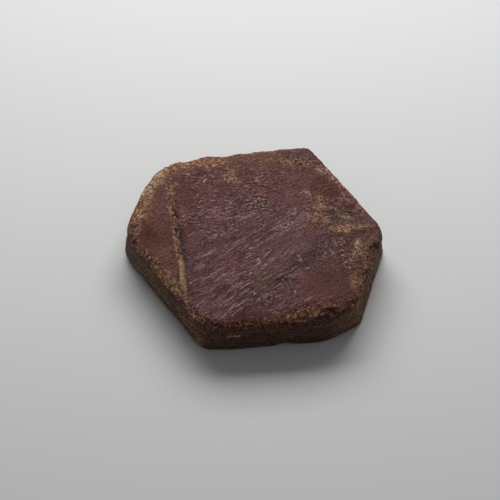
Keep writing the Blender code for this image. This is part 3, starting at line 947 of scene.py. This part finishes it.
lay(GARNET, 0.5 * patch((15.4, 6.6), (1.9, 1.7), -50.0, 0.5))
lay(GARNET, 0.65 * patch((13.8, 7.9), (1.6, 1.6), -50.0, 0.5))
print("tint runs from", tint.min(axis=0).round(3), "to", tint.max(axis=0).round(3))

# %% [markdown]
# ## The seam
#
# Its riser is what catches the eye. Towards the back it is a loose net of tan specks; further on a crevice
# opens on its right, blackened with painted shade, and in front it is a smooth, olive-gold strip with a
# dark line on each side, the right one painted shade at the foot of the riser.
# The step itself is in the mesh already, so paths along it are enough to colour it.

# %% Stain the seam
SEAM_BACK = ((-13.5, 15.5), (-13.6, 12.0), (-13.5, 8.0))
SEAM_MIDDLE = ((-13.5, 8.0), (-13.45, 4.0), (-13.5, 0.0), (-13.4, -3.2))
SEAM_CREST = ((-13.85, 7.0), (-13.8, 2.0), (-13.8, -3.0), (-13.95, -6.0), (-14.0, -9.0))
CREVICE_PATH = ((-12.8, 8.6), (-12.7, 4.0), (-12.65, 0.0), (-12.6, -3.6))
STRIP_PATH = ((-13.1, -3.2), (-13.2, -5.8), (-13.35, -8.6))
STRIP_LEFT_LINE = ((-13.8, -2.6), (-13.9, -5.8), (-14.0, -8.8))
STRIP_MIDDLE_LINE = ((-13.05, -3.4), (-13.2, -5.8), (-13.35, -8.2))
STRIP_FOOT_SHADE = ((-12.65, -3.0), (-12.75, -6.0), (-12.9, -8.6))

# painted shade in the crevice at the foot of the riser
lay(SOOT, 0.8 * band(CREVICE_PATH, 0.7, 0.7, 0.7) * smooth_step(-0.9, 0.3, -grit))
speckle(0.8 * band(SEAM_BACK, 0.8, 0.6), TAN, UMBER, 0.5, 30.0)
speckle(0.85 * band(SEAM_MIDDLE, 0.55, 0.6, 0.7), TAN, SOOT, 0.5, 31.0, 0.1)
lay(OCHRE, 0.6 * band(SEAM_CREST, 0.16, 0.7, 0.4) * smooth_step(-0.6, 0.1, grit))
lay(STRAW, 0.95 * band(STRIP_PATH, 0.52, 0.3, 0.2))
lay(SOOT, 0.6 * band(STRIP_LEFT_LINE, 0.14, 0.7, 0.3))
lay(OCHRE, 0.4 * band(STRIP_MIDDLE_LINE, 0.13, 0.7, 0.3))
# painted shade at the foot of the strip's riser
lay(UMBER, 0.6 * band(STRIP_FOOT_SHADE, 0.2, 0.7, 0.3))
speckle(0.75 * patch((-13.3, -10.6), (1.0, 1.9), 0.0, 0.5), TAN, UMBER, 0.45, 32.0)
print("the seam runs over", SEAM_BACK[0][1] - STRIP_PATH[-1][1], "mm")

# %% [markdown]
# ## The rims
#
# The worn rims hold the most clay. It is palest along the back and the left, and turns gritty and olive
# along the front left edge. The rim could be found from its slope alone, but then it would be the same all
# round, so each stretch has its own path and its own pair of colours.

# %% Stain the back and left rims
BACK_RIM = ((-13.4, 16.4), (-8.5, 16.4), (-3.0, 16.3))
BACK_RIM_RIGHT = ((-3.0, 16.4), (3.0, 16.6), (7.5, 16.0))
LEFT_RIM = ((-12.8, 16.2), (-15.0, 14.6), (-17.2, 11.6), (-19.3, 7.6), (-20.4, 5.0))
CREAMY_RIM = ((-14.4, 15.0), (-16.4, 13.0), (-18.0, 10.6))
LEFT_CORNER = ((-20.6, 4.6), (-21.2, 2.0), (-20.8, -0.6))
FRONT_LEFT_RIM = ((-20.8, -0.9), (-18.5, -3.9), (-16.3, -7.3), (-15.5, -8.7))

lay(BRICK, 0.7 * band(BACK_RIM_RIGHT, 1.1, 0.5))
lay(RUST, 0.75 * band(BACK_RIM, 1.3, 0.4))
speckle(0.95 * band(BACK_RIM, 1.0, 0.5), TAN, RUST, 0.6, 40.0, 0.15)
lay(BRICK, 0.8 * band(LEFT_RIM, 1.6, 0.4))
speckle(0.95 * band(LEFT_RIM, 1.15, 0.5), TAN, RUST, 0.6, 41.0, 0.25)
speckle(0.8 * band(CREAMY_RIM, 0.9, 0.5), CREAM, CLAY, 0.55, 41.5, 0.2)
lay(BRICK, 0.6 * patch((-20.3, 4.6), (1.3, 1.7), 0.0, 0.5))
speckle(0.7 * band(LEFT_CORNER, 1.2, 0.5), PINK, SOOT, 0.45, 42.0, 0.1)
lay(CLAY, 0.85 * band(FRONT_LEFT_RIM, 2.3, 0.3))
speckle(0.85 * band(FRONT_LEFT_RIM, 2.0, 0.4), TAN, SOOT, 0.42, 43.0, 0.35)
speckle(0.8 * patch((-19.3, -1.4), (1.4, 1.1), -60.0, 0.5), TAN, SOOT, 0.42, 43.5, -0.55)
lay(TAN, 0.3 * patch((-16.6, -6.1), (1.3, 1.0), -55.0, 0.6))
lay(SLATE, 0.75 * patch((-15.2, -10.6), (2.2, 1.3), -60.0, 0.4))
lay(CLAY, 0.7 * patch((-12.9, -14.4), (3.2, 2.0), -35.0, 0.4))
speckle(0.8 * patch((-12.9, -14.6), (3.0, 1.9), -35.0, 0.4), TAN, SOOT, 0.45, 44.0, 0.15)
print("the rims' mean tint is", tint[rim > 0.5].mean(axis=0).round(3))

# %% [markdown]
# Along the front the clay gives way to rust and soot, dark red at the right end. The right-hand rim is
# brown and gritty, and the rim behind the lens is red.

# %% Stain the front and right rims
FRONT_RIM = ((-9.8, -16.2), (-4.0, -16.6), (3.6, -16.8))
FRONT_RIGHT_RIM = ((4.0, -16.4), (8.0, -15.5), (12.6, -15.6), (15.6, -14.6))
FRONT_RIGHT_EDGE = ((6.5, -17.0), (10.5, -17.0), (13.5, -16.4))
RIGHT_RIM = ((21.2, -3.0), (19.4, -8.2), (17.6, -13.4))
BACK_RIGHT_RIM = ((14.0, 12.6), (15.4, 10.4), (17.2, 8.2))
RED_RIM = ((17.2, 6.0), (18.7, 3.6), (19.4, 2.4))

lay(BLOOD, 0.8 * band(FRONT_RIM, 1.3, 0.5))
speckle(0.85 * band(FRONT_RIM, 1.1, 0.5), EMBER, GARNET, 0.55, 45.0, 0.2)
lay(BLOOD, 0.75 * band(FRONT_RIGHT_RIM, 1.6, 0.5))
lay(GARNET, 0.8 * patch((9.6, -14.8), (4.2, 1.1), 0.0, 0.5))
lay(SOOT, 0.5 * patch((9.0, -14.7), (3.2, 0.5), 0.0, 0.6))
speckle(0.75 * band(FRONT_RIGHT_RIM, 1.3, 0.6), EMBER, SOOT, 0.5, 46.0)
speckle(0.7 * patch((7.0, -16.1), (3.6, 0.8), 0.0, 0.5), OCHRE, SOOT, 0.5, 46.5, 0.1)
lay(GARNET, 0.8 * patch((13.6, -14.9), (2.0, 1.2), 10.0, 0.4))
lay(UMBER, 0.6 * patch((14.2, -13.0), (1.9, 1.4), 0.0, 0.5))
lay(BARK, 0.35 * band(FRONT_RIGHT_EDGE, 0.8, 0.5))
lay(TAN, 0.4 * patch((15.3, -16.5), (1.2, 1.0), 0.0, 0.6))
lay(TAN, 0.6 * patch((-0.2, -16.0), (0.8, 0.6), 0.0, 0.6))
lay(UMBER, 0.6 * band(RIGHT_RIM, 2.0, 0.5))
speckle(0.6 * band(RIGHT_RIM, 1.2, 0.6), CLAY, UMBER, 0.5, 47.0, 0.1)
speckle(0.9 * band(BACK_RIGHT_RIM, 0.9, 0.5), TAN, UMBER, 0.55, 48.0, 0.1)
lay(BARK, 0.7 * patch((13.4, 13.5), (1.4, 1.1), -40.0, 0.5))
speckle(0.8 * band(RED_RIM, 1.0, 0.5), ROSE, BLOOD, 0.6, 49.0, 0.15)
speckle(0.7 * patch((20.6, -1.0), (0.8, 1.6), 0.0, 0.5), CLAY, UMBER, 0.6, 50.0)
print("the rims' mean tint is", tint[rim > 0.5].mean(axis=0).round(3))

# %% [markdown]
# ## The walls
#
# The walls are darker than the top, greyer on the left and nearly black along the front, and their fine
# layers show as level lines, pale on the ribs and dark between them. A wall is found by the way it looks,
# and its lines follow the ribs that the mesh already has.

# %% Layered colours of the walls
SIDE_UPNESS = (0.6, 0.3)
side = smooth_step(*SIDE_UPNESS, upness)


def wall(heading, spread, colour, pale, dark, strength):
    """Colours the walls that look this way, with level lines, pale on the ribs and dark between them."""
    here = side * facing(heading, spread)
    layers = 0.8 * ribs + 0.5 * grit
    lay(colour, strength * here)
    lay(pale, 0.45 * here * smooth_step(0.15, 0.8, layers))
    lay(dark, 0.5 * here * smooth_step(-0.1, -0.8, layers))


lay(UMBER, 0.8 * side)
wall(90.0, 75.0, MAROON, CLAY, SLATE, 0.7)
wall(30.0, 50.0, UMBER, CLAY, SOOT, 0.8)
wall(-151.0, 60.0, OLIVE, TAN, SOOT, 0.9)
wall(150.0, 60.0, MAROON, CLAY, SLATE, 0.7)
wall(-93.0, 48.0, BARK, CLAY, SOOT, 0.95)
wall(-30.0, 55.0, OLIVE, TAN, UMBER, 0.9)
print("the walls' mean tint is", tint[side > 0.5].mean(axis=0).round(3))

# %% [markdown]
# The walls at the back have clouds of bark brown and clay. One pale scratch runs level across the front
# wall, a dark scar marks the front left one, and the underside is evenly dull.

# %% Single marks on the walls, and the underside
CLOUD_SIZE = (5.5, 4.5, 2.4)
SCRATCH_MIDDLE_X = -5.9
SCRATCH_HALF_LENGTH = 1.4
SCRATCH_LEVEL = 5.0
SCRATCH_FADE = (0.2, 0.06)

lay(SLATE, 0.85 * patch((-16.3, -9.7), (1.9, 1.1), -60.0, 0.4))
behind = side * facing(90.0, 95.0)
clouds = lumps(worn, CLOUD_SIZE, 71.0)
lay(BARK, 0.75 * behind * smooth_step(0.0, 0.45, clouds))
lay(CLAY, 0.5 * behind * smooth_step(-0.1, -0.5, clouds))
beside = np.abs(worn[:, 0] - SCRATCH_MIDDLE_X)
along_scratch = smooth_step(SCRATCH_HALF_LENGTH, 0.8 * SCRATCH_HALF_LENGTH, beside)
on_scratch = smooth_step(*SCRATCH_FADE, np.abs(worn[:, 2] - SCRATCH_LEVEL))
lay(GLINT_AND_SCRATCH_WHITE, 0.7 * facing(-93.0, 48.0) * along_scratch * on_scratch)
lay(SLATE, 0.9 * under)
print("mean tint", tint.mean(axis=0).round(3))

# %% [markdown]
# ## Handing the patches to the material
#
# A mesh can carry a colour or a number at each point as an attribute, and a material can read it by name.
# It needs no UV map and no image, and it stays with the mesh. The tint, painted light and shade included,
# goes over as a colour; how lined, how rippled and how gritty the stone is go over as numbers.


# %% Attributes
def carry(name, values):
    """Stores a number or a colour for each point of the stone."""
    if values.ndim == 1:
        attribute = stone_mesh.attributes.new(name, "FLOAT", "POINT")
        attribute.data.foreach_set("value", values.astype(np.float32))
    else:
        attribute = stone_mesh.attributes.new(name, "FLOAT_COLOR", "POINT")
        rgba = np.column_stack((values, np.ones(len(values))))
        attribute.data.foreach_set("color", rgba.astype(np.float32).ravel())


# the tint holds the stains and the painted light and shade alike
carry("stain_and_painted_light", tint)
carry("lined", lined)
carry("rippled", rippled)
carry("gritty", np.clip(grit_share, 0.0, 1.0))
print("attributes:", [attribute.name for attribute in stone_mesh.attributes])

# %% [markdown]
# ## Finer than the mesh
#
# What is finer than the mesh is left to the material: hair-fine growth lines with painted highlights and
# painted shade, grain, and pale flecks and dark pits. An image texture would have to be painted and
# unwrapped for this very stone, while noise in object coordinates keeps its place from every side. These
# helpers keep the node tree short.

# %% Material helpers
def node(tree, kind, inputs=(), **settings):
    """A shader node with its settings, and its inputs given as values or as other nodes' outputs."""
    made = tree.nodes.new(kind)
    for name, value in settings.items():
        setattr(made, name, value)
    for name, value in dict(inputs).items():
        if isinstance(value, bpy.types.NodeSocket):
            tree.links.new(value, made.inputs[name])
        else:
            made.inputs[name].default_value = value
    return made


def math_node(tree, operation, *values):
    """The result of one sum on numbers or outputs."""
    return node(tree, "ShaderNodeMath", dict(enumerate(values)), operation=operation).outputs[0]


def noise_of(tree, vector, scale, detail=2.0, roughness=0.5):
    """A noise texture's value at this many lumps per millimetre."""
    inputs = {"Vector": vector, "Scale": scale, "Detail": detail, "Roughness": roughness}
    return node(tree, "ShaderNodeTexNoise", inputs).outputs["Fac"]


def ramp(tree, value, low, high, from_low=0.0, to_high=1.0):
    """The value stretched so that low gives from_low and high gives to_high."""
    inputs = {"Value": value, "From Min": low, "From Max": high, "To Min": from_low, "To Max": to_high}
    return node(tree, "ShaderNodeMapRange", inputs).outputs["Result"]


def mix(tree, share, below, above, blend="MIX"):
    """One colour over another."""
    made = node(tree, "ShaderNodeMix", data_type="RGBA", blend_type=blend)
    for place, value in ((0, share), (6, below), (7, above)):
        if isinstance(value, bpy.types.NodeSocket):
            tree.links.new(value, made.inputs[place])
        else:
            made.inputs[place].default_value = value
    return made.outputs[2]


def attribute_of(tree, name, socket="Fac"):
    """What the mesh carries at each point under this name."""
    return node(tree, "ShaderNodeAttribute", attribute_name=name).outputs[socket]


print("six material helpers are ready")

# %% [markdown]
# ## Hairs and grains
#
# The finest growth lines are hairs: noise drawn out along the same heading as the lines in the mesh, with a
# painted highlight where it is high. A copy of it, moved a quarter of a millimetre across, darkens the
# stone beside each hair with painted shade, as a tiny shadow would. Grains come from a finer noise, whose
# peaks are lighter flecks and whose hollows are darker pits.

# %% Colours of the hairs, grains and pits
# painted shade beside the hairs, and the dark of the pits
DARK = (0.016, 0.009, 0.008, 1.0)
# painted highlight on the hairs
HAIR_HIGHLIGHT = (0.40, 0.255, 0.25, 1.0)
FLECK = (2.2, 2.1, 2.0, 1.0)
HAIR_NOISE = (1.0, 2.0, 0.6)
GROWTH_HAIR = (2.0, 0.2)
RIPPLE_HAIR = (0.7, 0.25)
SHADE_SHIFT = 0.24
HAIR_SHADES = (0.56, 0.66)
HAIR_PEAKS = (0.58, 0.67)
FLECK_PEAKS = (0.53, 0.64)
PIT_HOLLOWS = (0.45, 0.32)


def hairs_in(tree, in_mm, heading, size, shift=0.0):
    """Noise drawn out along a heading in plan, and moved across it by this shift."""
    turn = math.radians(heading)
    inputs = {"Vector": in_mm, "Rotation": (0.0, 0.0, turn), "Scale": (*size, 1.0)}
    inputs["Location"] = (-shift * math.sin(turn), shift * math.cos(turn), 0.0)
    there = node(tree, "ShaderNodeMapping", inputs, vector_type="TEXTURE").outputs[0]
    return noise_of(tree, there, *HAIR_NOISE)


def with_hairs(tree, colour, hairs, shades, here):
    """Painted highlights on the hairs and painted shade beside them, as strong as the share here says."""
    dark = math_node(tree, "MULTIPLY", ramp(tree, shades, *HAIR_SHADES), here)
    colour = mix(tree, math_node(tree, "MULTIPLY", dark, 0.75), colour, DARK)
    pale = math_node(tree, "MULTIPLY", ramp(tree, hairs, *HAIR_PEAKS), here)
    return mix(tree, math_node(tree, "MULTIPLY", pale, 0.85), colour, HAIR_HIGHLIGHT)


def with_grains(tree, colour, fine, here):
    """The colour with bright flecks on the peaks of the fine noise and dark pits in its hollows."""
    flecks = math_node(tree, "MULTIPLY", ramp(tree, fine, *FLECK_PEAKS), here)
    colour = mix(tree, flecks, colour, mix(tree, 1.0, colour, FLECK, "MULTIPLY"))
    pits = math_node(tree, "MULTIPLY", ramp(tree, fine, *PIT_HOLLOWS), here)
    return mix(tree, math_node(tree, "MULTIPLY", pits, 0.8), colour, DARK)


print("hairs are", GROWTH_HAIR[1], "mm wide")

# %% [markdown]
# ## The stone's material
#
# One principled shader makes the whole stone. Corundum bends light strongly, but a worn and dusty face
# hardly shows it, so there is little shine and the roughness is high. The hairs and grains also raise the
# surface a little through a bump node, which is cheaper than a still finer mesh.

# %% The stone's material
GRAIN = (2.6, 3.0, 0.7)
FINE = (4.4, 1.5, 0.7)
GRAIN_SHADES = (0.3, 0.7, 0.65, 1.35)
FINE_SHADES = (0.32, 0.68, 0.55, 1.45)
GRAIN_ROUGHNESS = (0.3, 0.7, 0.85, 0.6)
GRIT_BUMPS = (0.0, 1.0, 0.4, 1.2)
REFRACTION = 1.5
SHINE = 0.15
BUMP_DISTANCE = 0.14 * MM


def stone_bumps(tree, growth_hairs, lined_here, ripple_hairs, rippled_here, rough):
    """The normal that the hairs and the grains give the surface."""
    height = math_node(tree, "MULTIPLY", growth_hairs, lined_here)
    height = math_node(tree, "ADD", height, math_node(tree, "MULTIPLY", ripple_hairs, rippled_here))
    inputs = {"Height": math_node(tree, "ADD", height, rough), "Distance": BUMP_DISTANCE, "Strength": 1.0}
    return node(tree, "ShaderNodeBump", inputs).outputs["Normal"]


def stone_material():
    """The worn raw ruby: its stains and painted light, with hairs, grains, a dull shine and fine bumps."""
    material = bpy.data.materials.new("worn raw ruby")
    material.use_nodes = True
    tree = material.node_tree
    shader = tree.nodes["Principled BSDF"]
    place = node(tree, "ShaderNodeTexCoord").outputs["Object"]
    in_mm = node(tree, "ShaderNodeMapping", {"Vector": place, "Scale": (1.0 / MM,) * 3}).outputs[0]
    growth_hairs = hairs_in(tree, in_mm, GROWTH_HEADING, GROWTH_HAIR)
    growth_shades = hairs_in(tree, in_mm, GROWTH_HEADING, GROWTH_HAIR, -SHADE_SHIFT)
    ripple_hairs = hairs_in(tree, in_mm, RIPPLE_HEADING, RIPPLE_HAIR)
    ripple_shades = hairs_in(tree, in_mm, RIPPLE_HEADING, RIPPLE_HAIR, -SHADE_SHIFT)
    grain = noise_of(tree, in_mm, *GRAIN)
    fine = noise_of(tree, in_mm, *FINE)
    lined_here, rippled_here, gritty_here = (
        attribute_of(tree, name) for name in ("lined", "rippled", "gritty")
    )

    stain_and_painted_light = attribute_of(tree, "stain_and_painted_light", "Color")
    colour = mix(tree, 1.0, stain_and_painted_light, ramp(tree, grain, *GRAIN_SHADES), "MULTIPLY")
    colour = mix(tree, 1.0, colour, ramp(tree, fine, *FINE_SHADES), "MULTIPLY")
    colour = with_hairs(tree, colour, growth_hairs, growth_shades, lined_here)
    colour = with_hairs(tree, colour, ripple_hairs, ripple_shades, rippled_here)
    tree.links.new(with_grains(tree, colour, fine, gritty_here), shader.inputs["Base Color"])
    tree.links.new(ramp(tree, grain, *GRAIN_ROUGHNESS), shader.inputs["Roughness"])
    shader.inputs["IOR"].default_value = REFRACTION
    shader.inputs["Specular IOR Level"].default_value = SHINE
    rough = math_node(tree, "MULTIPLY", fine, ramp(tree, gritty_here, *GRIT_BUMPS))
    bumps = stone_bumps(tree, growth_hairs, lined_here, ripple_hairs, rippled_here, rough)
    tree.links.new(bumps, shader.inputs["Normal"])
    return material


stone_mesh.materials.append(stone_material())
print(len(stone_mesh.materials[0].node_tree.nodes), "nodes in the stone's material")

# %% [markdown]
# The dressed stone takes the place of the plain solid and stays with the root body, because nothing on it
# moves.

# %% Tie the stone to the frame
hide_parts("ruby_crystal")
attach(stone, "root")
print(stone.name, "replaces the solid")

# %% [markdown]
# ## Floor and light
#
# The stone lies on a plain pale floor. One broad soft light hangs behind it and above, so that the walls
# that face the viewer are in shade and a soft shadow falls to the front; a pale surround fills the rest. A
# sun lamp would throw a hard shadow, so the light is an area several times as wide as the stone.

# %% Floor, light and surround
FLOOR_HALF = 1.5
CAMERA_AZIMUTH = -8.27
LIGHT_DISTANCE = 0.245
LIGHT_ELEVATION = 44.0
LIGHT_SIZE = (0.26, 0.12)
LIGHT_POWER = 0.625
SURROUND = 0.155
SURROUND_COLOUR = (0.97, 0.98, 1.0, 1.0)
FLOOR_COLOUR = (0.74, 0.745, 0.74)
FLOOR_ROUGHNESS = 0.7
FLOOR_DROP = 0.02 * MM


def plain(name, colour, roughness):
    """A plain matt material."""
    material = bpy.data.materials.new(name)
    material.use_nodes = True
    shader = material.node_tree.nodes["Principled BSDF"]
    shader.inputs["Base Color"].default_value = (*colour, 1.0)
    shader.inputs["Roughness"].default_value = roughness
    return material


floor_mesh = bpy.data.meshes.new("floor")
corners = [(x * FLOOR_HALF, y * FLOOR_HALF, 0.0) for x, y in ((-1, -1), (1, -1), (1, 1), (-1, 1))]
floor_mesh.from_pydata(corners, [], [(0, 1, 2, 3)])
floor_mesh.materials.append(plain("pale floor", FLOOR_COLOUR, FLOOR_ROUGHNESS))
floor = bpy.data.objects.new("floor", floor_mesh)
bpy.context.scene.collection.objects.link(floor)
floor.location.z = -FLOOR_DROP


def direction(azimuth, elevation):
    """From the stone towards a place this far round from the front and this far up."""
    a, e = math.radians(azimuth), math.radians(elevation)
    return Vector((math.sin(a) * math.cos(e), -math.cos(a) * math.cos(e), math.sin(e)))


def look_at(thing, target):
    """Turns a camera or a light so that it looks at a place."""
    thing.rotation_euler = (target - thing.location).to_track_quat("-Z", "Y").to_euler()


lamp = bpy.data.lights.new("broad soft light", "AREA")
lamp.shape = "RECTANGLE"
lamp.size, lamp.size_y = LIGHT_SIZE
lamp.energy = LIGHT_POWER
light = bpy.data.objects.new("broad soft light", lamp)
light.location = direction(CAMERA_AZIMUTH + 180.0, LIGHT_ELEVATION) * LIGHT_DISTANCE
look_at(light, Vector((0.0, 0.0, 0.0)))
bpy.context.scene.collection.objects.link(light)

world = bpy.data.worlds.new("surround")
world.use_nodes = True
background = world.node_tree.nodes["Background"]
background.inputs["Color"].default_value = SURROUND_COLOUR
background.inputs["Strength"].default_value = SURROUND
bpy.context.scene.world = world
bpy.context.scene.view_settings.view_transform = "Standard"
print("light", LIGHT_DISTANCE, "m away, surround", SURROUND)

# %% [markdown]
# ## Camera
#
# The camera looks steeply down on the stone from a little to the left of its front. It stands about seven
# widths of the stone away and has a long lens, so the hexagon keeps its shape: from close by the front
# would look wider than the back.

# %% Camera
CAMERA_ELEVATION = 62.0
CAMERA_DISTANCE = 313.95
CAMERA_TARGET = Vector((-1.28, -2.54, THICKNESS))
LENS = 129.6
SENSOR_WIDTH = 36.0
CLIP_START = 0.01

camera_data = bpy.data.cameras.new("camera")
camera_data.lens = LENS
camera_data.sensor_width = SENSOR_WIDTH
camera_data.clip_start = CLIP_START
camera = bpy.data.objects.new("camera", camera_data)
target = CAMERA_TARGET * MM
camera.location = target + direction(CAMERA_AZIMUTH, CAMERA_ELEVATION) * CAMERA_DISTANCE * MM
look_at(camera, target)
bpy.context.scene.collection.objects.link(camera)
bpy.context.scene.camera = camera
print("camera at", camera.location)
